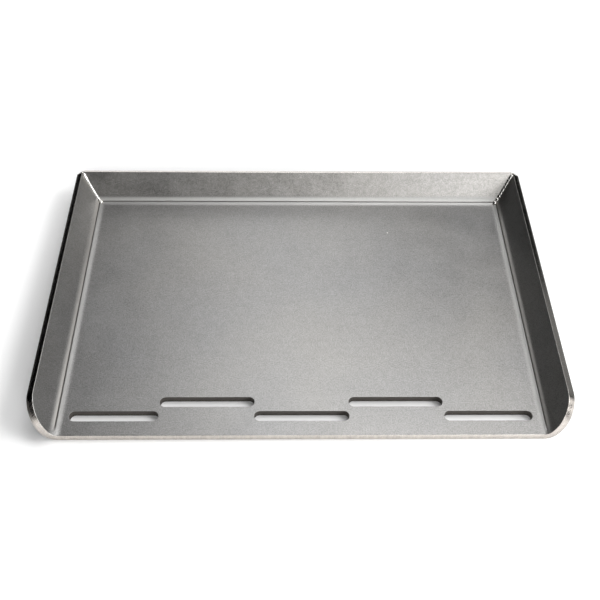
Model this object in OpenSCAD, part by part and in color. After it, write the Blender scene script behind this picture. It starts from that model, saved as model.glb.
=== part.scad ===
// Folded steel griddle plate.
// One thick plate, cut flat with five drain slots, is folded up on three sides.
// The two rear corners are closed by welding: a filled groove outside, a small bead inside.
// Origin: middle of the footprint, on the underside. +Y runs to the rear wall, +Z up.

/* [Plate] */
// Thickness of the steel plate
plate_t = 6.35; // [5:0.05:8]
// Width of the deck between the two side bend lines
deck_w = 381; // [370:1:460]
// Depth of the deck from its open front edge to the rear bend line
deck_d = 257; // [220:1:320]

/* [Walls] */
// Height of the walls, measured up their slope from the bend line
wall_slope = 28.5; // [28.5:0.5:40]
// Outward lean of the walls, in degrees from upright
wall_lean = 30; // [25:1:40]
// Inside radius of the three bends
bend_r = 5; // [4:0.5:5]
// Radius of the rounded front ends of the side walls
front_r = 25.4; // [15:0.1:25.4]

/* [Crease] */
// Width of the line that the press tool leaves along the middle of each bend
crease_w = 1.3; // [0.8:0.1:2]
// Depth of that line
crease_deep = 0.45; // [0.2:0.05:0.8]
// Distance from the front edge at which the side creases stop
crease_stop = 5.5; // [3:0.5:12]

/* [Drain slots] */
// Width of every slot
slot_w = 8.8; // [6:0.1:10]
// Length of the three middle slots, end to end
slot_len = 74.6; // [50:0.1:74.6]
// Length of the two end slots, end to end
end_slot_len = 69.5; // [50:0.1:69.5]
// Distance from the front edge to the middle line of the front row
front_row = 17.4; // [12:0.1:20]
// Distance between the middle lines of the two rows
row_gap = 13; // [11.5:0.1:20]

/* [Corner welds] */
// Plate left uncut at the bottom of the corner groove
weld_root = 1; // [0.5:0.1:2]
// Height of the outer weld's crown above a straight fill
weld_crown = 0.6; // [0.3:0.1:1]
// Radius of the bead in the inside corner
bead_r = 1.3; // [1:0.1:2]

/* [Hidden] */
$fn = 96;
bend = 90 - wall_lean;
bend_run = bend_r * tan(bend / 2);
wall_out = wall_slope * sin(wall_lean);
wall_rise = wall_slope * cos(wall_lean);
total_d = deck_d + wall_out + plate_t * cos(wall_lean);
front_y = -total_d / 2;
rear_y = front_y + deck_d;
corner_x = deck_w / 2;
// Tilt of the corner line from upright, and half the angle of the groove between the wall ends
corner_tilt = atan(sqrt(2) * tan(wall_lean));
groove_half = acos(pow(sin(wall_lean), 2)) / 2;
fill_half_w = plate_t * sin(groove_half);
crown_r = (pow(fill_half_w, 2) + pow(weld_crown, 2)) / (2 * weld_crown);
crown_x = plate_t * cos(groove_half) + weld_crown - crown_r;
reach = 60;
steel = [0.52, 0.52, 0.51];
weld_steel = [0.80, 0.80, 0.79];

// Bend and wall seen end on, as the solid space under one of the sheet's two faces.
// X runs outward from the bend line, Y up from the underside. The space runs inward by depth.
// skin is how far that face lies below the sheet's inner face, and radius is its bend radius.
module fold_space(depth, skin, radius, slope) {
    middle = [-bend_run, plate_t + bend_r];
    flat_end = middle + [0, -radius];
    wall_start = middle + radius * [sin(bend), -cos(bend)];
    wall_end = wall_start + (slope - bend_run) * [cos(bend), sin(bend)];
    inner_end = wall_end + skin * [-sin(bend), cos(bend)];
    polygon([[-depth, flat_end[1]], flat_end, wall_start, wall_end, inner_end, [-depth, inner_end[1]]]);
    translate(middle)
        circle(r = radius);
}

// Space inside the sheet's outer face, up to the top of the walls
module outer_space(depth) {
    fold_space(depth, plate_t, bend_r + plate_t, wall_slope);
}

// Space inside the sheet's inner face, open above
module inner_space(depth) {
    fold_space(depth, 0, bend_r, 2 * wall_slope);
}

// The V-shaped line pressed into the middle of a bend
module crease_section() {
    lift = 0.1;
    spread = crease_w / 2 * (1 + lift / crease_deep);
    translate([-bend_run, plate_t + bend_r])
        rotate(bend / 2)
            translate([0, -bend_r])
                polygon([[0, -crease_deep], [spread, lift], [-spread, lift]]);
}

module both_sides() {
    children();
    mirror([1, 0, 0])
        children();
}

// Runs a section along the right-hand bend line
module along_side(start_y, end_y) {
    translate([corner_x, end_y, 0])
        rotate([90, 0, 0])
            linear_extrude(end_y - start_y)
                children();
}

// Runs a section along the rear bend line, between -half_w and half_w
module along_rear(half_w) {
    translate([-half_w, rear_y, 0])
        rotate([90, 0, 90])
            linear_extrude(2 * half_w)
                children();
}

// Everything inside the outer faces of the three walls and the deck
module outer_form() {
    intersection() {
        both_sides()
            along_side(front_y - reach, rear_y + reach)
                outer_space(corner_x + 1);
        along_rear(corner_x + reach)
            outer_space(deck_d);
    }
}

// Everything above the deck and between the inner faces of the walls
module inner_form() {
    intersection() {
        both_sides()
            along_side(front_y - reach, rear_y + reach)
                inner_space(corner_x + 1);
        along_rear(corner_x + reach)
            inner_space(deck_d + reach);
    }
}

// Prism that rounds a side wall's front end, square to the sheet. Local X is up the wall's slope.
module front_corner_cut() {
    over = 5;
    translate([corner_x, front_y, plate_t])
        rotate([0, wall_lean, 0])
            rotate([0, -90, 0])
                translate([wall_slope - front_r, front_r, -2 * plate_t])
                    linear_extrude(3 * plate_t)
                        difference() {
                            translate([0, -front_r - over])
                                square([front_r + over, front_r + over]);
                            circle(r = front_r);
                        }
}

// Creases run into the rear corners and meet there
module creases() {
    middle_in = bend_run - bend_r * sin(bend / 2);
    both_sides()
        along_side(front_y + crease_stop, rear_y - middle_in)
            crease_section();
    along_rear(corner_x - middle_in)
        crease_section();
}

// Moves onto the right-hand corner line: local Z runs up the line, local X points outward
module on_corner_line() {
    translate([corner_x, rear_y, plate_t])
        rotate([0, corner_tilt, 45])
            children();
}

// The open V between the square-cut ends of two walls
module corner_groove() {
    on_corner_line()
        translate([0, 0, -reach])
            linear_extrude(2 * reach)
                polygon([
                    [weld_root, 0],
                    [reach, (reach - weld_root) * tan(groove_half)],
                    [reach, -(reach - weld_root) * tan(groove_half)]
                ]);
}

module drain_slot(middle_x, row_y, len) {
    half_run = (len - slot_w) / 2;
    translate([middle_x, front_y + row_y, -1])
        linear_extrude(plate_t + 2) {
            square([2 * half_run, slot_w], center = true);
            for (side = [-1, 1])
                translate([side * half_run, 0])
                    circle(d = slot_w);
        }
}

// Three slots in the front row, with two behind them that fill the gaps between
module drain_slots() {
    drain_slot(0, front_row, slot_len);
    for (side = [-1, 1]) {
        drain_slot(side * slot_len, front_row + row_gap, slot_len);
        drain_slot(side * (3 * slot_len + end_slot_len) / 2, front_row, end_slot_len);
    }
}

module griddle_plate() {
    color(steel)
        difference() {
            outer_form();
            inner_form();
            both_sides() {
                front_corner_cut();
                corner_groove();
            }
            creases();
            drain_slots();
        }
}

// Weld metal that fills the groove between two walls
module corner_weld() {
    intersection() {
        difference() {
            outer_form();
            inner_form();
        }
        corner_groove();
        on_corner_line()
            translate([crown_x, 0, -reach])
                cylinder(r = crown_r, h = 2 * reach);
    }
}

module left_corner_weld() {
    color(weld_steel)
        mirror([1, 0, 0])
            corner_weld();
}

module right_corner_weld() {
    color(weld_steel)
        corner_weld();
}

// Rod along the corner line, cut back to what stands proud of the walls and the bends
module corner_bead() {
    inset = 0.3;
    intersection() {
        inner_form();
        on_corner_line()
            translate([-inset, 0, -reach])
                cylinder(r = bead_r, h = 2 * reach);
        translate([0, 0, plate_t])
            cube([2 * corner_x, 2 * corner_x, wall_rise]);
    }
}

module left_corner_bead() {
    color(weld_steel)
        mirror([1, 0, 0])
            corner_bead();
}

module right_corner_bead() {
    color(weld_steel)
        corner_bead();
}

griddle_plate();
left_corner_weld();
right_corner_weld();
left_corner_bead();
right_corner_bead();
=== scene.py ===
import math

import bmesh
import bpy
import numpy as np
from mathutils import Matrix, Vector


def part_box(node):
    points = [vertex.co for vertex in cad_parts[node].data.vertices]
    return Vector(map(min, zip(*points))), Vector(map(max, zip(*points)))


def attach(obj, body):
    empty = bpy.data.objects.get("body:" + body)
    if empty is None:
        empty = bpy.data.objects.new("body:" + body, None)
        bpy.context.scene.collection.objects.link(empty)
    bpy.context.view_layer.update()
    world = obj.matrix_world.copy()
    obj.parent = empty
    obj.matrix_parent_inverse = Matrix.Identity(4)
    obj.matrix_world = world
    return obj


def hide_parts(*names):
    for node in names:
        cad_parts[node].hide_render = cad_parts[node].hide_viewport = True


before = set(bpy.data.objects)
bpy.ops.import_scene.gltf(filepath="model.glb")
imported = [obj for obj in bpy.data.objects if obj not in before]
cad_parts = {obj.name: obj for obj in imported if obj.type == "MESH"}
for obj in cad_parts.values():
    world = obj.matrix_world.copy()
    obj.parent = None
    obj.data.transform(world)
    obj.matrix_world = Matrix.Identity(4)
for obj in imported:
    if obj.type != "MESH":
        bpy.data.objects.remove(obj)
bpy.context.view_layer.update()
scene = bpy.context.scene
scene.view_settings.view_transform = "Standard"

# ---- Camera ------------------------------------------------------------------------------------
# A 50 mm lens a little left of the middle, in front of the open edge and looking down at the deck.
# Its distances are measured from the middle of the deck's front edge.
plate_low, plate_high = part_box("griddle_plate")
plate_t = 0.00635
lens_mm = 50.65
sensor_mm = 36.0
camera_left = 0.0138
camera_before = 0.3315
camera_above = 0.5676
tilt_down = math.radians(50.59)
turn_right = math.radians(1.69)
camera_roll = math.radians(1.34)

camera = bpy.data.objects.new("camera", bpy.data.cameras.new("camera"))
camera.data.lens = lens_mm
camera.data.sensor_width = sensor_mm
camera.matrix_world = (
    Matrix.Translation((-camera_left, plate_low.y - camera_before, plate_t + camera_above))
    @ Matrix.Rotation(-turn_right, 4, "Z")
    @ Matrix.Rotation(math.pi / 2 - tilt_down, 4, "X")
    @ Matrix.Rotation(camera_roll, 4, "Z")
)
scene.collection.objects.link(camera)
scene.camera = camera

# ---- Folded plate ------------------------------------------------------------------------------
# One blank of mild steel plate, laser cut with its drain slots and rounded front corners, then
# pressed up along three lines. The edges are lightly rounded, and the press tool leaves a crease.
wall_slope = 0.0285
wall_lean = math.radians(30)
bend_r = 0.005
bend = math.pi / 2 - wall_lean
bend_run = bend_r * math.tan(bend / 2)
bend_arc = bend_r * bend
wall_flat = wall_slope - bend_run
wall_reach = wall_slope * math.sin(wall_lean) + plate_t * math.cos(wall_lean)
corner_x = plate_high.x - wall_reach
rear_y = plate_high.y - wall_reach
front_y = plate_low.y
side_start = corner_x - bend_run
rear_start = rear_y - bend_run
blank_right = side_start + bend_arc + wall_flat
front_r = 0.0254
edge_r = 0.0005
slot_edge_r = 0.00025
notch_gap = 0.0002


def arc_points(middle, radius, start, end, count):
    """Points along an arc, in degrees, with both ends."""
    turn = np.radians(np.linspace(start, end, count + 1))
    return [(middle[0] + radius * math.cos(a), middle[1] + radius * math.sin(a)) for a in turn]


def wall_end(count=12):
    """Half of the notch between a side wall and the rear wall, from its tip outward.
    Its curve makes the two inner faces meet all the way up once the walls are folded."""
    runs = list(np.linspace(0, bend_arc, count + 1)) + [bend_arc + wall_flat]
    points = []
    for run in runs:
        turn = min(run, bend_arc) / bend_r
        along = bend_r * math.sin(turn) + max(run - bend_arc, 0) * math.cos(bend)
        square = np.array([-math.cos(turn), 1]) / math.hypot(math.cos(turn), 1)
        gap = (0, notch_gap / square[1]) if run == runs[-1] else notch_gap * square
        points.append((side_start + run - gap[0], rear_start + along - gap[1]))
    return points


def soften(before, corner, after, cut, count=5):
    """Takes a sharp corner of the blank off with a small curve."""
    before, corner, after = np.array(before), np.array(corner), np.array(after)
    start = corner + cut * (before - corner) / np.linalg.norm(before - corner)
    end = corner + cut * (after - corner) / np.linalg.norm(after - corner)
    shares = np.linspace(0, 1, count + 1)
    return [tuple((1 - t) ** 2 * start + 2 * t * (1 - t) * corner + t * t * end) for t in shares]


def blank_outline():
    """The flat blank's outline, anticlockwise from the middle of the front edge."""
    right_end = wall_end()
    wall_top = (right_end[-1][0], front_y)
    right_end = right_end[:-1] + soften(right_end[-2], right_end[-1], wall_top, edge_r)
    rear_end = [(side_start + y - rear_start, rear_start + x - side_start) for x, y in right_end]
    tip = arc_points((side_start, rear_start), notch_gap, -45, -225, count=8)[1:-1]
    corner = arc_points((blank_right - front_r, front_y + front_r), front_r, -90, 0, count=48)
    half = corner + right_end[::-1] + tip + rear_end
    return half + [(-x, y) for x, y in half[::-1]]


slot_w = 0.0088
slot_len = 0.0746
end_slot_len = 0.0695
front_row = front_y + 0.0174
back_row = front_row + 0.013
end_slot_x = (3 * slot_len + end_slot_len) / 2
slots = [
    (-end_slot_x, front_row, end_slot_len),
    (-slot_len, back_row, slot_len),
    (0.0, front_row, slot_len),
    (slot_len, back_row, slot_len),
    (end_slot_x, front_row, end_slot_len),
]


def slot_outline(middle_x, row_y, length):
    """A slot's outline, clockwise, so that its metal too lies on the left."""
    half = (length - slot_w) / 2
    right = arc_points((middle_x + half, row_y), slot_w / 2, 90, -90, count=20)
    left = arc_points((middle_x - half, row_y), slot_w / 2, -90, -270, count=20)
    return right + left


def unit(steps):
    """The same directions with a length of 1."""
    return steps / np.linalg.norm(steps, axis=1)[:, None]


def square_out(steps):
    """Directions square to steps along an outline, away from the metal on its left."""
    return np.stack([steps[:, 1], -steps[:, 0]], 1)


def edge_normals(points):
    """Directions out of the metal at each point of a closed outline, to shade its edge with, and
    how far each point moves for an inset of 1, so that the corners keep their mitres."""
    p = np.array(points)
    before = p - np.roll(p, 1, 0)
    after = np.roll(p, -1, 0) - p
    shade = unit(square_out(before) + square_out(after))
    middle = unit(square_out(unit(before)) + square_out(unit(after)))
    return shade, middle / (middle * square_out(unit(after))).sum(1)[:, None]


rim_steps = 5


def cut_blank():
    """The flat blank as a mesh: its two faces, and a band with rounded edges round each outline."""
    mesh = bmesh.new()
    normal = mesh.verts.layers.float_vector.new("blank_normal")
    edge_share = mesh.verts.layers.float.new("cut_edge")
    slot_share = mesh.verts.layers.float.new("slot_edge")
    along_edge = mesh.verts.layers.float.new("along_edge")
    top_edges = []
    bottom_edges = []
    for outline in [blank_outline()] + [slot_outline(*slot) for slot in slots]:
        is_slot = bool(top_edges)
        rim = slot_edge_r if is_slot else edge_r
        profile = []
        for turn in np.radians(np.linspace(0, 90, rim_steps)):
            out, up = math.sin(turn), math.cos(turn)
            profile.append((rim * (1 - out), rim * (1 - up), out, up))
        profile += [(inset, plate_t - drop, out, -up) for inset, drop, out, up in profile[::-1]]
        shade, mitre = edge_normals(outline)
        p = np.array(outline)
        run = np.concatenate([[0], np.cumsum(np.linalg.norm(np.diff(p, axis=0), axis=1))])
        rings = []
        for inset, drop, out, up in profile:
            ring = []
            for here, flat, reach, length in zip(p, shade, mitre, run):
                v = mesh.verts.new((*(here - reach * inset), plate_t - drop))
                v[normal] = (flat[0] * out, flat[1] * out, up)
                v[edge_share] = out
                v[slot_share] = float(is_slot)
                v[along_edge] = length
                ring.append(v)
            rings.append(ring)
        turns = [(i, (i + 1) % len(outline)) for i in range(len(outline))]
        for upper, lower in zip(rings, rings[1:]):
            for i, j in turns:
                mesh.faces.new((upper[j], upper[i], lower[i], lower[j]))
        top_edges += [mesh.edges.get((rings[0][i], rings[0][j])) for i, j in turns]
        bottom_edges += [mesh.edges.get((rings[-1][i], rings[-1][j])) for i, j in turns]
    bmesh.ops.triangle_fill(mesh, use_beauty=True, edges=top_edges, normal=(0, 0, 1))
    bmesh.ops.triangle_fill(mesh, use_beauty=True, edges=bottom_edges, normal=(0, 0, -1))
    return mesh


crease_w = 0.0013
crease_deep = 0.00045
crease_stop = 0.0055
crease_fade = 0.0035
crease_run = bend_arc / 2
# A pressed bend eases into the flat, so the light turns over a wider strip than the radius alone:
# over bend_blend on each side of a line that lies bend_shift up the wall from the crease.
bend_blend = 0.0075
bend_shift = 0.0007
# Distances from the crease at which the faces are cut: close together in the crease, and wider
# apart where only the shading turns.
millimetre = 0.001
score_steps = [0, 0.1, 0.2, 0.3, 0.42, 0.55, 0.7, 0.9, 1.2, 1.6, 2.1, 3.3, 4, 4.8, 5.6, 6.4, 7.2]
fade_steps = 9
on_line = 1e-7


def score_bends(mesh):
    """Cuts the blank's faces across wherever the press will bend them or end a crease."""
    runs = sorted({side * millimetre * step for step in score_steps for side in (-1, 1)})
    runs += [-crease_run, crease_run]
    lines = []
    for run in runs:
        lines += [((side * (side_start + crease_run + run), 0, 0), (1, 0, 0)) for side in (-1, 1)]
        lines += [((0, rear_start + crease_run + run, 0), (0, 1, 0))]
    fade_ends = (crease_stop - crease_fade, crease_stop + crease_fade)
    lines += [((0, front_y + y, 0), (0, 1, 0)) for y in np.linspace(*fade_ends, fade_steps)]
    for place, across in lines:
        whole = mesh.verts[:] + mesh.edges[:] + mesh.faces[:]
        bmesh.ops.bisect_plane(mesh, geom=whole, dist=on_line, plane_co=place, plane_no=across)


def new_tree(name, sizes):
    """A Geometry Nodes tree from geometry to geometry, with a named number input for each size."""
    tree = bpy.data.node_groups.new(name, "GeometryNodeTree")
    tree.interface.new_socket("Geometry", in_out="INPUT", socket_type="NodeSocketGeometry")
    tree.interface.new_socket("Geometry", in_out="OUTPUT", socket_type="NodeSocketGeometry")
    for label in sizes:
        tree.interface.new_socket(label, in_out="INPUT", socket_type="NodeSocketFloat")
    tree.interface.new_socket("Metal", in_out="INPUT", socket_type="NodeSocketMaterial")
    return tree


def add(tree, kind, *inputs, **settings):
    """Adds a node whose inputs, in order, are values or sockets, with None for one left as it is."""
    made = tree.nodes.new(kind)
    for name, value in settings.items():
        setattr(made, name, value)
    for socket, value in zip([s for s in made.inputs if s.enabled], inputs):
        if isinstance(value, bpy.types.NodeSocket):
            tree.links.new(value, socket)
        elif value is not None:
            socket.default_value = value
    return made


def maths(tree):
    """Short forms of a tree's number and vector nodes."""

    def number(operation, *values):
        return add(tree, "ShaderNodeMath", *values, operation=operation).outputs[0]

    def vector(operation, *values):
        return add(tree, "ShaderNodeVectorMath", *values, operation=operation)

    return number, vector


def ease(tree, value, low, high):
    """0 below low, 1 above high, and a smooth step between."""
    step = add(tree, "ShaderNodeMapRange", value, low, high, 0.0, 1.0, interpolation_type="SMOOTHSTEP")
    return step.outputs[0]


def store(tree, geometry, name, value, kind="FLOAT"):
    """Stores a value at every point of the mesh under a name that the materials read."""
    kept = add(tree, "GeometryNodeStoreNamedAttribute", geometry, None, name, value, data_type=kind)
    return kept.outputs[0]


# The crease is a rounded groove. This far from its middle, as a share of its width, it is only
# about a third as deep.
crease_spread = 0.36
# Points this close to the inner face count as on it
skin_limit = 1e-6


def fold_tree(sizes):
    """Folds up whatever lies beyond the bend lines of a flat blank, as a press brake does.
    The inner face keeps its length, and the outer face stretches round it."""
    tree = new_tree("press_brake_fold", sizes)
    number, vector = maths(tree)
    start = add(tree, "NodeGroupInput")
    size = start.outputs
    place = add(tree, "GeometryNodeInputPosition").outputs[0]
    x, y, z = add(tree, "ShaderNodeSeparateXYZ", place).outputs
    side_run = number("SUBTRACT", number("ABSOLUTE", x), size["Side bend start"])
    rear_run = number("SUBTRACT", y, size["Rear bend start"])
    on_side = number("GREATER_THAN", side_run, rear_run)
    out_x = number("MULTIPLY", on_side, number("SIGN", x))
    out_y = number("SUBTRACT", 1.0, on_side)
    outward = add(tree, "ShaderNodeCombineXYZ", out_x, out_y, 0.0).outputs[0]
    run = number("MAXIMUM", number("MAXIMUM", side_run, rear_run), 0.0)
    turn = number("MINIMUM", number("DIVIDE", run, size["Bend radius"]), size["Bend angle"])
    beyond = number("SUBTRACT", run, number("MULTIPLY", turn, size["Bend radius"]))
    sine = number("SINE", turn)
    cosine = number("COSINE", turn)

    skin = number("SUBTRACT", size["Plate thickness"], z)
    on_top = number("LESS_THAN", skin, skin_limit)
    arc = number("MULTIPLY", size["Bend radius"], size["Bend angle"])
    half_arc = number("MULTIPLY", arc, 0.5)
    off_middle = number("SUBTRACT", run, half_arc)
    half_crease = number("MULTIPLY", size["Crease width"], crease_spread)
    across = number("DIVIDE", off_middle, half_crease)
    hollow = number("EXPONENT", number("MULTIPLY", number("MULTIPLY", across, across), -1.0))
    past_front = number("SUBTRACT", y, size["Crease front end"])
    fade = ease(tree, past_front, -crease_fade, crease_fade)
    pressed = number("MULTIPLY", number("MULTIPLY", on_top, fade), size["Crease depth"])
    dent = number("MULTIPLY", hollow, pressed)
    steepness = number("DIVIDE", number("MULTIPLY", across, -2.0), half_crease)
    slope = number("MULTIPLY", dent, steepness)

    radius = number("ADD", number("ADD", size["Bend radius"], skin), dent)
    reach = number("ADD", number("MULTIPLY", radius, sine), number("MULTIPLY", beyond, cosine))
    rise = number("SUBTRACT", number("MULTIPLY", beyond, sine), number("MULTIPLY", radius, cosine))
    rise = number("ADD", number("ADD", rise, size["Bend radius"]), skin)
    shift = vector("SCALE", outward, number("SUBTRACT", reach, run)).outputs[0]
    lift = add(tree, "ShaderNodeCombineXYZ", 0.0, 0.0, rise).outputs[0]
    offset = vector("ADD", shift, lift).outputs[0]

    eased_off = number("SUBTRACT", number("MAXIMUM", side_run, rear_run), half_arc)
    eased = ease(tree, eased_off, -bend_blend + bend_shift, bend_blend + bend_shift)
    eased = number("MULTIPLY", eased, size["Bend angle"])
    sine = number("SINE", eased)
    cosine = number("COSINE", eased)
    flat = add(tree, "GeometryNodeInputNamedAttribute", "blank_normal", data_type="FLOAT_VECTOR")
    flat = flat.outputs[0]
    flat = vector("ADD", flat, vector("SCALE", outward, slope).outputs[0]).outputs[0]
    flat_out = vector("DOT_PRODUCT", flat, outward).outputs[1]
    flat_up = add(tree, "ShaderNodeSeparateXYZ", flat).outputs[2]
    less = number("SUBTRACT", cosine, 1.0)
    change_out = number("MULTIPLY", flat_out, less)
    change_out = number("SUBTRACT", change_out, number("MULTIPLY", flat_up, sine))
    change_up = number("MULTIPLY", flat_out, sine)
    change_up = number("ADD", change_up, number("MULTIPLY", flat_up, less))
    turned = vector("ADD", flat, vector("SCALE", outward, change_out).outputs[0]).outputs[0]
    up = add(tree, "ShaderNodeCombineXYZ", 0.0, 0.0, change_up).outputs[0]
    turned = vector("NORMALIZE", vector("ADD", turned, up).outputs[0]).outputs[0]

    kept = store(tree, size[0], "blank_place", place, "FLOAT_VECTOR")
    kept = store(tree, kept, "face_normal", turned, "FLOAT_VECTOR")
    folded = add(tree, "GeometryNodeSetPosition", kept, None, None, offset)
    solid = add(tree, "GeometryNodeRealizeInstances", folded.outputs[0])
    painted = add(tree, "GeometryNodeSetMaterial", solid.outputs[0], None, size["Metal"])
    add(tree, "NodeGroupOutput", painted.outputs[0])
    return tree


def run_tree(thing, tree, sizes, metal, name):
    """Runs a tree on an object and returns the result as a plain mesh object."""
    modifier = thing.modifiers.new(tree.name, "NODES")
    modifier.node_group = tree
    sockets = {s.name: s.identifier for s in tree.interface.items_tree if s.in_out == "INPUT"}
    for label, value in list(sizes.items()) + [("Metal", metal)]:
        modifier[sockets[label]] = value
    graph = bpy.context.evaluated_depsgraph_get()
    shown = thing.evaluated_get(graph)
    mesh = bpy.data.meshes.new_from_object(shown, preserve_all_data_layers=True, depsgraph=graph)
    mesh.name = name
    bpy.data.objects.remove(thing)
    made = bpy.data.objects.new(name, mesh)
    scene.collection.objects.link(made)
    return made


def new_metal(name):
    """A new metal, with its node tree and its shader."""
    metal = bpy.data.materials.new(name)
    metal.use_nodes = True
    tree = metal.node_tree
    shader = tree.nodes["Principled BSDF"]
    shader.inputs["Metallic"].default_value = 1.0
    return metal, tree, shader


def noise(tree, place, scale, detail, roughness=0.5):
    """Cloudy noise about zero, from -0.5 to 0.5."""
    cloud = add(tree, "ShaderNodeTexNoise", place, scale, detail, roughness).outputs[0]
    return add(tree, "ShaderNodeMath", cloud, 0.5, operation="SUBTRACT").outputs[0]


def tint(tree, share, under, over, blend="MIX"):
    """Lays one colour over another by a share."""
    mixed = add(tree, "ShaderNodeMix", share, under, over, data_type="RGBA", blend_type=blend)
    return next(socket for socket in mixed.outputs if socket.enabled)


def layered(tree, base, *layers):
    """A base value with each layer added to it, times that layer's strength."""
    for layer, strength in layers:
        base = add(tree, "ShaderNodeMath", layer, strength, base, operation="MULTIPLY_ADD").outputs[0]
    return base


def attribute(tree, name, output="Fac"):
    """A value or a vector that the mesh carries at each of its points."""
    return add(tree, "ShaderNodeAttribute", attribute_name=name).outputs[output]


steel_colour = (0.262, 0.260, 0.256, 1)
cool_tint = (0.985, 0.995, 1.02, 1)
warm_tint = (1.02, 1.0, 0.97, 1)
# Painted highlight: lighter colours for the strips along the bends, on the deck side and the wall side
side_bend_highlight_deck = (0.27, 0.268, 0.262, 1)
side_bend_highlight_wall = (0.378, 0.366, 0.349, 1)
rear_bend_highlight_deck = (0.34, 0.337, 0.33, 1)
rear_bend_highlight_wall = (0.56, 0.555, 0.54, 1)
# Painted shade: a dark line along the crease of each bend
crease_shade_colour = (0.12, 0.116, 0.108, 1)
rust_colour = (0.20, 0.085, 0.035, 1)
bright_colour = (0.62, 0.61, 0.58, 1)
worn_rim_highlight_colour = (0.55, 0.54, 0.52, 1)
cut_colour = (0.55, 0.512, 0.475, 1)
wall_top_colour = (0.17, 0.163, 0.152, 1)
# Painted shade for the cut faces inside the slots
slot_cut_shade_colour = (0.115, 0.105, 0.095, 1)
# Distances over which one finish fades into the next. They start at the middle of a bend, but
# strip_front_fade starts at the front edge, cut_foot_fade at the underside, and wall_top_fade at
# the middle of the plate.
strip_fade = (0.001, 0.006)
crease_shade_fade = (0.0002, 0.0006)
deck_to_wall = (-0.0006, 0.0006)
rear_wall_fade = (0.002, 0.007)
strip_front_fade = (0.002, 0.011)
strip_ragged = 0.0016
cut_foot_fade = (0.0012, 0.0032)
cut_foot_ragged = 0.002
wall_top_fade = (blank_right - 0.0020, blank_right - 0.0003)
# Shares of the way round a cut edge's rim, over which the rim is worn and painted lighter, partly as a
# painted highlight, and the cut face starts
worn_highlight_fade = (0.1, 0.5)
cut_face_fade = (0.45, 0.9)
# Each spot has a random number from 0 to 1: the highest are rust, and the lowest are bright
spot_scale = 85.0
spot_fade = (0.035, 0.085)
rust_from = 0.978
bright_to = 0.014
rust_strength = 0.8
# The laser's lines run down the cut edges, leaning a little
striae_lean = 0.35
striae_along = 900.0
striae_down = 90.0
rolling_stretch = (14.0, 260.0, 60.0)


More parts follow.
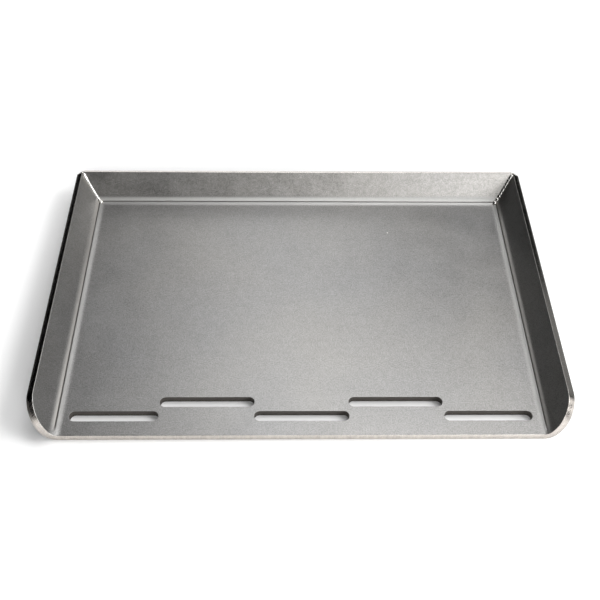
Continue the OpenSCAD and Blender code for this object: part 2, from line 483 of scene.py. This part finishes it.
def plate_metal():
    """Blasted mild steel with painted highlight strips along the bends and laser-cut edges."""
    metal, tree, shader = new_metal("plate_steel")
    number, vector = maths(tree)
    sheet = attribute(tree, "blank_place", "Vector")
    x, y, z = add(tree, "ShaderNodeSeparateXYZ", sheet).outputs
    cut = attribute(tree, "cut_edge")
    in_slot = attribute(tree, "slot_edge")
    along = attribute(tree, "along_edge")

    # Blasted faces: grit, grain, mottling and faint rolling marks, stronger on the rear wall
    grit = noise(tree, sheet, scale=950.0, detail=2.0)
    grain = noise(tree, sheet, scale=380.0, detail=3.0)
    mottle = noise(tree, sheet, scale=55.0, detail=3.0)
    cloud = noise(tree, sheet, scale=9.0, detail=2.0)
    stretched = vector("MULTIPLY", sheet, rolling_stretch).outputs[0]
    rolling = noise(tree, stretched, scale=1.0, detail=3.0)
    side_off = number("SUBTRACT", number("ABSOLUTE", x), side_start + crease_run)
    rear_off = number("SUBTRACT", y, rear_start + crease_run)
    on_rear_wall = ease(tree, rear_off, *rear_wall_fade)
    grain_tone = layered(tree, 0.34, (on_rear_wall, 0.35))
    mottle_tone = layered(tree, 0.18, (on_rear_wall, 0.3))
    tone = layered(tree, 1.0, (grit, 1.15), (grain, grain_tone), (mottle, mottle_tone))
    tone = layered(tree, tone, (cloud, 0.14), (rolling, 0.07))

    # Lighter strips along the bends, a painted highlight where the bent faces catch the light, with a
    # painted shade line along the crease in their middle
    off = number("MAXIMUM", side_off, rear_off)
    from_bend = number("ABSOLUTE", off)
    on_inside = number("GREATER_THAN", z, plate_t * 0.9)
    behind_front = ease(tree, number("SUBTRACT", y, front_y), *strip_front_fade)
    pressed = number("MULTIPLY", on_inside, behind_front)
    ragged = layered(tree, from_bend, (grain, strip_ragged))
    bend_highlight = number("SUBTRACT", 1.0, ease(tree, ragged, *strip_fade))
    bend_highlight = number("MULTIPLY", bend_highlight, pressed)
    # Painted shade along the crease
    crease_shade = number("SUBTRACT", 1.0, ease(tree, from_bend, *crease_shade_fade))
    crease_shade = number("MULTIPLY", crease_shade, pressed)

    steel = tint(tree, 1.0, steel_colour, tone, "MULTIPLY")
    warmth = layered(tree, 0.5, (cloud, 1.2), (on_rear_wall, 0.5))
    warm = tint(tree, warmth, cool_tint, warm_tint)
    steel = tint(tree, 1.0, steel, warm, "MULTIPLY")
    on_wall = ease(tree, off, *deck_to_wall)
    at_side = tint(tree, on_wall, side_bend_highlight_deck, side_bend_highlight_wall)
    at_rear = tint(tree, on_wall, rear_bend_highlight_deck, rear_bend_highlight_wall)
    bend_highlight_tint = tint(tree, number("GREATER_THAN", rear_off, side_off), at_side, at_rear)
    steel = tint(tree, bend_highlight, steel, bend_highlight_tint)
    steel = tint(tree, crease_shade, steel, crease_shade_colour)

    # A few specks of rust and of bare bright steel
    spots = add(tree, "ShaderNodeTexVoronoi", sheet, spot_scale)
    rare = add(tree, "ShaderNodeSeparateColor", spots.outputs["Color"])
    near = number("SUBTRACT", 1.0, ease(tree, spots.outputs["Distance"], *spot_fade))
    rust = number("MULTIPLY", near, number("GREATER_THAN", rare.outputs[0], rust_from))
    bright = number("MULTIPLY", near, number("LESS_THAN", rare.outputs[0], bright_to))
    steel = tint(tree, number("MULTIPLY", rust, rust_strength), steel, rust_colour)
    steel = tint(tree, bright, steel, bright_colour)

    # Laser-cut edges, with worn rims painted lighter, partly as a painted highlight, the tops of the
    # walls darker than the other cut faces, and painted shade on the cut faces inside the slots
    drag = number("MULTIPLY", layered(tree, along, (z, striae_lean)), striae_along)
    lines_at = add(tree, "ShaderNodeCombineXYZ", drag, number("MULTIPLY", z, striae_down), 0.0)
    striae = noise(tree, lines_at.outputs[0], scale=1.0, detail=3.0)
    edge_place = add(tree, "ShaderNodeCombineXYZ", along, z, 0.0).outputs[0]
    patch = noise(tree, edge_place, scale=120.0, detail=2.0)
    ragged_z = layered(tree, z, (patch, cut_foot_ragged))
    low = number("SUBTRACT", 1.0, ease(tree, ragged_z, *cut_foot_fade))
    cut_tone = layered(tree, 1.0, (striae, 0.55), (patch, 0.35), (low, -0.12))
    wall_top = ease(tree, number("ABSOLUTE", x), *wall_top_fade)
    cut_steel = tint(tree, wall_top, cut_colour, wall_top_colour)
    # Painted shade on the cut faces inside the slots
    cut_steel = tint(tree, in_slot, cut_steel, slot_cut_shade_colour)
    cut_steel = tint(tree, 1.0, cut_steel, cut_tone, "MULTIPLY")
    is_cut = ease(tree, cut, *cut_face_fade)
    # Worn rims painted lighter: partly wear, partly a painted highlight on the rounded edges
    worn_and_highlit = number("MULTIPLY", ease(tree, cut, *worn_highlight_fade), number("SUBTRACT", 1.0, is_cut))
    worn_and_highlit = number("MULTIPLY", worn_and_highlit, layered(tree, 0.75, (grain, 1.6)))
    colour = tint(tree, worn_and_highlit, steel, worn_rim_highlight_colour)
    colour = tint(tree, is_cut, colour, cut_steel)
    tree.links.new(colour, shader.inputs["Base Color"])

    # Roughness and fine relief
    rough = layered(tree, 0.40, (mottle, 0.10), (grit, 0.16), (bend_highlight, 0.05), (crease_shade, 0.20), (rust, 0.3))
    cut_rough = layered(tree, 0.26, (striae, 0.12), (wall_top, -0.12), (low, 0.10), (in_slot, 0.2))
    rough = add(tree, "ShaderNodeMix", is_cut, rough, cut_rough, data_type="FLOAT").outputs[0]
    tree.links.new(rough, shader.inputs["Roughness"])

    face_height = layered(tree, 0.0, (grit, 0.7), (grain, 0.9), (rust, -0.4))
    cut_height = number("MULTIPLY", striae, 0.25)
    height = add(tree, "ShaderNodeMix", is_cut, face_height, cut_height, data_type="FLOAT").outputs[0]
    bump = add(tree, "ShaderNodeBump")
    bump.inputs["Strength"].default_value = 0.45
    bump.inputs["Distance"].default_value = 0.00006
    tree.links.new(height, bump.inputs["Height"])
    tree.links.new(bump.outputs[0], shader.inputs["Normal"])
    return metal


plate_steel = plate_metal()
blank_mesh = cut_blank()
score_bends(blank_mesh)
blank_data = bpy.data.meshes.new("blank")
blank_mesh.to_mesh(blank_data)
blank_mesh.free()
blank = bpy.data.objects.new("blank", blank_data)
scene.collection.objects.link(blank)
fold_sizes = {
    "Side bend start": side_start,
    "Rear bend start": rear_start,
    "Bend radius": bend_r,
    "Bend angle": bend,
    "Plate thickness": plate_t,
    "Crease width": crease_w,
    "Crease depth": crease_deep,
    "Crease front end": front_y + crease_stop,
}
plate = run_tree(blank, fold_tree(fold_sizes), fold_sizes, plate_steel, "folded_plate")
normals = np.zeros(3 * len(plate.data.vertices), np.float32)
plate.data.attributes["face_normal"].data.foreach_get("vector", normals)
plate.data.shade_smooth()
plate.data.normals_split_custom_set_from_vertices(normals.reshape(-1, 3))
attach(plate, "root")
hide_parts("griddle_plate")

# ---- Corner welds ------------------------------------------------------------------------------
# Outside, a run of weld metal fills the V between the square-cut ends of two walls, in overlapping
# ripples, and its top is dressed flat. Inside, a thin uneven bead closes each rear corner.
weld_start = math.radians(16)
# Length of the corner line for each unit of the walls' slope
rise_share = math.hypot(math.sqrt(2) * math.cos(bend), math.sin(bend))


def weld_path(tree, size, along, side, reach_r, drop_r):
    """A point at a distance along a rear corner: round the bend first, then up between the walls.
    Also gives the directions out of the corner and across it, and the turn of the sheet there."""
    number, vector = maths(tree)
    turned = number("DIVIDE", along, drop_r)
    turn = number("MINIMUM", number("ADD", turned, size["Start angle"]), size["Bend angle"])
    bend_left = number("SUBTRACT", size["Bend angle"], size["Start angle"])
    round_bend = number("MULTIPLY", bend_left, drop_r)
    up_wall = number("DIVIDE", number("SUBTRACT", along, round_bend), rise_share)
    up_wall = number("MAXIMUM", up_wall, 0.0)
    sine = number("SINE", turn)
    cosine = number("COSINE", turn)
    reach = number("MULTIPLY_ADD", sine, reach_r, number("MULTIPLY", up_wall, math.cos(bend)))
    rise = number("MULTIPLY_ADD", up_wall, math.sin(bend), plate_t + bend_r)
    rise = number("SUBTRACT", rise, number("MULTIPLY", cosine, drop_r))
    x = number("MULTIPLY", number("ADD", reach, side_start), side)
    point = add(tree, "ShaderNodeCombineXYZ", x, number("ADD", reach, rear_start), rise).outputs[0]
    half_sine = number("MULTIPLY", sine, 0.5)
    down = number("MULTIPLY", cosine, -1.0)
    out = add(tree, "ShaderNodeCombineXYZ", number("MULTIPLY", half_sine, side), half_sine, down)
    out = vector("NORMALIZE", out.outputs[0]).outputs[0]
    across = (-math.sqrt(0.5), side * math.sqrt(0.5), 0.0)
    return point, out, across, sine, cosine


# The bar that each weld starts from has a radius and a length of 1, and a few rings on its ends
bar_size = 1.0
cap_rings = 4
# Ripples have full crests, sharp valleys and an uneven beat, and each end closes in a blunt nose
crest_shape = 0.7
ripple_jitter = 0.8
end_shape = 2.2
# Shares of a bead's length over which its thicker foot fades out and its head swells
foot_fade = (0.12, 0.36)
head_fade = (0.62, 0.92)
bead_spread = 1.1
# The outer weld is this many times as wide as its groove. Its sides and its crown wander a little.
toe_lap = 1.04
toe_wander = 0.0004
crown_wander = 0.0004
crown_power = 4.0


def weld_tree(name, sizes, side, inside, rings, sides):
    """Shapes a closed round bar, whose own axis is the run of the weld, into the weld."""
    tree = new_tree(name, sizes)
    number, vector = maths(tree)
    start = add(tree, "NodeGroupInput")
    size = start.outputs
    bar = add(tree, "GeometryNodeMeshCylinder", sides, rings, cap_rings, bar_size, bar_size)
    place = add(tree, "GeometryNodeInputPosition").outputs[0]
    x, y, z = add(tree, "ShaderNodeSeparateXYZ", place).outputs
    along = number("MULTIPLY", number("ADD", z, 0.5), size["Length"])
    to_end = number("SUBTRACT", size["Length"], along)
    seed_place = add(tree, "ShaderNodeCombineXYZ", along, size["Seed"], 0.0).outputs[0]
    wander = noise(tree, seed_place, scale=260.0, detail=1.0)
    swell = noise(tree, seed_place, scale=90.0, detail=1.0)

    bow = number("MULTIPLY", number("MULTIPLY", y, y), size["Ripple bow"])
    beat = number("DIVIDE", number("ADD", along, bow), size["Ripple pitch"])
    beat = number("MULTIPLY_ADD", wander, ripple_jitter, beat)
    crest = number("ABSOLUTE", number("SINE", number("MULTIPLY", beat, math.pi)))
    crest = number("POWER", crest, crest_shape)
    valley = number("MULTIPLY", number("SUBTRACT", crest, 1.0), size["Ripple depth"])

    def rounded(run, length):
        """Rises from 0 at an end of the weld to 1 where its rounding is over."""
        left_over = number("SUBTRACT", 1.0, number("MINIMUM", number("DIVIDE", run, length), 1.0))
        return number("SUBTRACT", 1.0, number("POWER", left_over, end_shape))

    at_start = rounded(along, size["Start rounding"])
    at_end = rounded(to_end, size["End rounding"])
    closed = number("POWER", number("MULTIPLY", at_start, at_end), 0.5)
    reach_r = bend_r if inside else bend_r + plate_t / 2
    drop_r = bend_r if inside else bend_r + plate_t
    point, out, across, sine, cosine = weld_path(tree, size, along, side, reach_r, drop_r)

    if inside:
        middle = number("DIVIDE", along, size["Length"])
        foot = number("SUBTRACT", 1.0, ease(tree, middle, *foot_fade))
        head = ease(tree, middle, *head_fade)
        radius = number("MULTIPLY_ADD", foot, size["Foot swell"], size["Half width"])
        radius = number("MULTIPLY_ADD", head, size["Head swell"], radius)
        radius = number("MULTIPLY_ADD", swell, size["Unevenness"], radius)
        drops = number("MULTIPLY", valley, number("MULTIPLY_ADD", foot, size["Drop share"], 1.0))
        radius = number("MULTIPLY", number("ADD", radius, drops), closed)
        push = number("MULTIPLY_ADD", x, radius, size["Set out"])
        shift = number("MULTIPLY", y, number("MULTIPLY", radius, bead_spread))
    else:
        toe = number("MULTIPLY", sine, plate_t / math.sqrt(2))
        half = number("MULTIPLY_ADD", wander, toe_wander, number("MULTIPLY", toe, toe_lap))
        half = number("MULTIPLY", half, closed)
        flank = number("SUBTRACT", 1.0, number("POWER", number("ABSOLUTE", y), crown_power))
        bulge = number("MULTIPLY_ADD", valley, flank, size["Crown"])
        bulge = number("MULTIPLY_ADD", swell, number("MULTIPLY", flank, crown_wander), bulge)
        bulge = number("MULTIPLY", bulge, closed)
        bulge = number("MULTIPLY", bulge, number("DIVIDE", sine, math.sin(bend)))
        crown = number("MULTIPLY", number("MULTIPLY", x, x), bulge)
        across_square = number("MULTIPLY", sine, sine)
        squares = number("MULTIPLY_ADD", across_square, 0.5, number("MULTIPLY", cosine, cosine))
        root = number("MULTIPLY", number("POWER", squares, 0.5), size["Root depth"])
        root = number("MULTIPLY", number("MULTIPLY", x, root), closed)
        is_root = number("LESS_THAN", x, 0.0)
        push = add(tree, "ShaderNodeMix", is_root, crown, root, data_type="FLOAT").outputs[0]
        shift = number("MULTIPLY", y, half)

    moved = vector("ADD", point, vector("SCALE", out, push).outputs[0]).outputs[0]
    moved = vector("ADD", moved, vector("SCALE", across, shift).outputs[0]).outputs[0]
    toe_share = number("ABSOLUTE", y)
    kept = store(tree, bar.outputs[0], "ripple", crest)
    kept = store(tree, kept, "toe", toe_share)
    laid = add(tree, "GeometryNodeSetPosition", kept, None, moved)
    solid = add(tree, "GeometryNodeRealizeInstances", laid.outputs[0])
    painted = add(tree, "GeometryNodeSetMaterial", solid.outputs[0], None, size["Metal"])
    add(tree, "NodeGroupOutput", painted.outputs[0])
    return tree


bead_colour = (0.80, 0.79, 0.76, 1)
valley_colour = (0.30, 0.29, 0.28, 1)
heat_colour = (0.42, 0.34, 0.24, 1)
valley_fade = (0.1, 0.7)
heat_fade = (0.72, 1.0)


def weld_steel():
    """Bright weld metal, greyer in the valleys, with a straw heat colour at its toes."""
    metal, tree, shader = new_metal("weld_metal")
    number = maths(tree)[0]
    place = add(tree, "ShaderNodeTexCoord").outputs["Object"]
    ripple = attribute(tree, "ripple")
    toe = attribute(tree, "toe")
    fine = noise(tree, place, scale=1500.0, detail=3.0)
    broad = noise(tree, place, scale=240.0, detail=2.0)
    valley = number("SUBTRACT", 1.0, ease(tree, ripple, *valley_fade))
    heat = ease(tree, layered(tree, toe, (broad, 0.35)), *heat_fade)
    tone = layered(tree, 1.0, (fine, 0.25), (broad, 0.25))
    steel = tint(tree, 1.0, bead_colour, tone, "MULTIPLY")
    steel = tint(tree, number("MULTIPLY", valley, 0.55), steel, valley_colour)
    steel = tint(tree, number("MULTIPLY", heat, 0.35), steel, heat_colour)
    tree.links.new(steel, shader.inputs["Base Color"])
    rough = layered(tree, 0.24, (valley, 0.16), (fine, 0.12))
    tree.links.new(rough, shader.inputs["Roughness"])
    bump = add(tree, "ShaderNodeBump")
    bump.inputs["Strength"].default_value = 0.4
    bump.inputs["Distance"].default_value = 0.00004
    tree.links.new(fine, bump.inputs["Height"])
    tree.links.new(bump.outputs[0], shader.inputs["Normal"])
    return metal


left_side = -1.0
right_side = 1.0
weld_rings = 190
outer_sides = 44
bead_sides = 30


def lay_weld(name, node, side, inside, sizes):
    """Makes one weld and puts it in place of its CAD solid."""
    holder = bpy.data.objects.new(name, bpy.data.meshes.new(name))
    scene.collection.objects.link(holder)
    sides = bead_sides if inside else outer_sides
    tree = weld_tree(name, sizes, side, inside, weld_rings, sides)
    weld = run_tree(holder, tree, sizes, weld_metal, name)
    weld.data.shade_smooth()
    weld.data.set_sharp_from_angle(angle=math.radians(60))
    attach(weld, "root")
    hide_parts(node)


weld_metal = weld_steel()
wall_line = wall_flat * rise_share
# How far each weld stops short of the top of the walls
outer_top_gap = 0.0001
bead_top_gap = 0.0014
outer_sizes = {
    "Length": (bend - weld_start) * (bend_r + plate_t) + wall_line - outer_top_gap,
    "Start angle": weld_start,
    "Bend angle": bend,
    "Start rounding": 0.004,
    "End rounding": 0.0003,
    "Crown": 0.0006,
    "Root depth": plate_t * 0.96,
    "Ripple pitch": 0.0017,
    "Ripple bow": 0.0016,
    "Ripple depth": 0.00028,
    "Seed": 1.0,
}
bead_sizes = {
    "Length": bend * bend_r + wall_line - bead_top_gap,
    "Start angle": 0.0,
    "Bend angle": bend,
    "Start rounding": 0.0016,
    "End rounding": 0.0014,
    "Half width": 0.0011,
    "Foot swell": 0.0005,
    "Head swell": 0.0005,
    "Unevenness": 0.0006,
    "Set out": -0.0003,
    "Ripple pitch": 0.0021,
    "Ripple bow": 0.0002,
    "Ripple depth": 0.00014,
    "Drop share": 0.5,
    "Seed": 3.0,
}
right_bead_sizes = dict(bead_sizes)
right_bead_sizes.update({
    "Half width": 0.0014,
    "Ripple pitch": 0.0034,
    "Ripple depth": 0.00038,
    "Drop share": 1.6,
    "Head swell": 0.0002,
    "Seed": 8.0,
})
right_outer_sizes = dict(outer_sizes, Seed=5.0)
lay_weld("left_outer_weld", "left_corner_weld", left_side, inside=False, sizes=outer_sizes)
lay_weld("right_outer_weld", "right_corner_weld", right_side, inside=False, sizes=right_outer_sizes)
lay_weld("left_inner_bead", "left_corner_bead", left_side, inside=True, sizes=bead_sizes)
lay_weld("right_inner_bead", "right_corner_bead", right_side, inside=True, sizes=right_bead_sizes)

# ---- Studio ------------------------------------------------------------------------------------
# A plain white table that glows a little, as painted light, and whose glow fades out under and close
# round the griddle as a painted shadow; and large soft lights on the right, in front, behind and
# above.
floor_half = 4.0
# The glow starts lit_from outside the dark patch, a painted shadow, and is full at lit_to. The patch
# is as large as the griddle, and lies a little to its left and behind it, slightly askew.
lit_from = 0.004
lit_to = 0.055
painted_shadow_left = 0.004
painted_shadow_behind = 0.028
painted_shadow_skew_x = -0.10
painted_shadow_skew_y = -0.05
glow_least = 0.02
glow_more = 0.36
floor_mesh = bpy.data.meshes.new("floor")
corners = [(-1, -1), (1, -1), (1, 1), (-1, 1)]
floor_mesh.from_pydata([(i * floor_half, j * floor_half, 0) for i, j in corners], [], [(0, 1, 2, 3)])
floor = bpy.data.objects.new("floor", floor_mesh)
scene.collection.objects.link(floor)
floor_paint = bpy.data.materials.new("floor_white")
floor_paint.use_nodes = True
floor_tree = floor_paint.node_tree
floor_shader = floor_tree.nodes["Principled BSDF"]
floor_shader.inputs["Base Color"].default_value = (0.93, 0.93, 0.93, 1)
floor_shader.inputs["Roughness"].default_value = 0.8
floor_shader.inputs["Emission Color"].default_value = (1, 1, 1, 1)
number, vector = maths(floor_tree)
floor_place = add(floor_tree, "ShaderNodeTexCoord").outputs["Object"]
floor_x, floor_y = add(floor_tree, "ShaderNodeSeparateXYZ", floor_place).outputs[:2]
painted_shadow_x = number("ADD", floor_x, number("MULTIPLY_ADD", floor_y, painted_shadow_skew_x, painted_shadow_left))
painted_shadow_y = number("ADD", floor_y, number("MULTIPLY_ADD", floor_x, painted_shadow_skew_y, -painted_shadow_behind))
painted_shadow_place = add(floor_tree, "ShaderNodeCombineXYZ", painted_shadow_x, painted_shadow_y, 0.0).outputs[0]
painted_shadow_size = (plate_high.x, plate_high.y, 0.0)
beside = vector("SUBTRACT", vector("ABSOLUTE", painted_shadow_place).outputs[0], painted_shadow_size)
beside = vector("MAXIMUM", beside.outputs[0], (0.0, 0.0, 0.0))
distance = vector("LENGTH", beside.outputs[0]).outputs[1]
# Painted light: the floor's glow, least in the painted shadow under and round the griddle
glow = layered(floor_tree, glow_least, (ease(floor_tree, distance, lit_from, lit_to), glow_more))
floor_tree.links.new(glow, floor_shader.inputs["Emission Strength"])
floor.data.materials.append(floor_paint)

world = bpy.data.worlds.new("room")
world.use_nodes = True
world.node_tree.nodes["Background"].inputs[0].default_value = (0.0, 0.0, 0.0, 1)
scene.world = world
light_distance = 2.2


def soft_light(name, azimuth, elevation, power, size=0.9):
    """A round soft light that faces the griddle. Azimuth 0 is behind it, and 90 on its right."""
    lamp = bpy.data.lights.new(name, "AREA")
    lamp.shape = "DISK"
    lamp.size = size
    lamp.energy = power
    turn = math.radians(azimuth)
    up = math.radians(elevation)
    place = Vector((math.cos(up) * math.sin(turn), math.cos(up) * math.cos(turn), math.sin(up)))
    holder = bpy.data.objects.new(name, lamp)
    holder.location = place * light_distance
    holder.rotation_euler = place.to_track_quat("Z", "Y").to_euler()
    scene.collection.objects.link(holder)


soft_light("front_low", azimuth=180, elevation=8, power=2.8, size=0.55)
soft_light("front_right", azimuth=157, elevation=18, power=15.5)
soft_light("right_front", azimuth=120, elevation=25, power=12.2)
soft_light("right", azimuth=90, elevation=25, power=3.9)
soft_light("right_low", azimuth=66, elevation=11, power=1.5)
soft_light("right_rear", azimuth=60, elevation=25, power=2.0)
soft_light("right_high", azimuth=90, elevation=45, power=21)
soft_light("right_rear_high", azimuth=60, elevation=45, power=3.3)
soft_light("left_rear", azimuth=316, elevation=27, power=3.5)
soft_light("front_mid", azimuth=164, elevation=40, power=3.5)
soft_light("front_high", azimuth=175, elevation=60, power=7.0)
soft_light("rear", azimuth=0, elevation=25, power=6.5)
soft_light("rear_high", azimuth=0, elevation=45, power=2.4)
soft_light("top_rear", azimuth=0, elevation=65, power=8.1)
soft_light("top_right", azimuth=45, elevation=65, power=7.6)
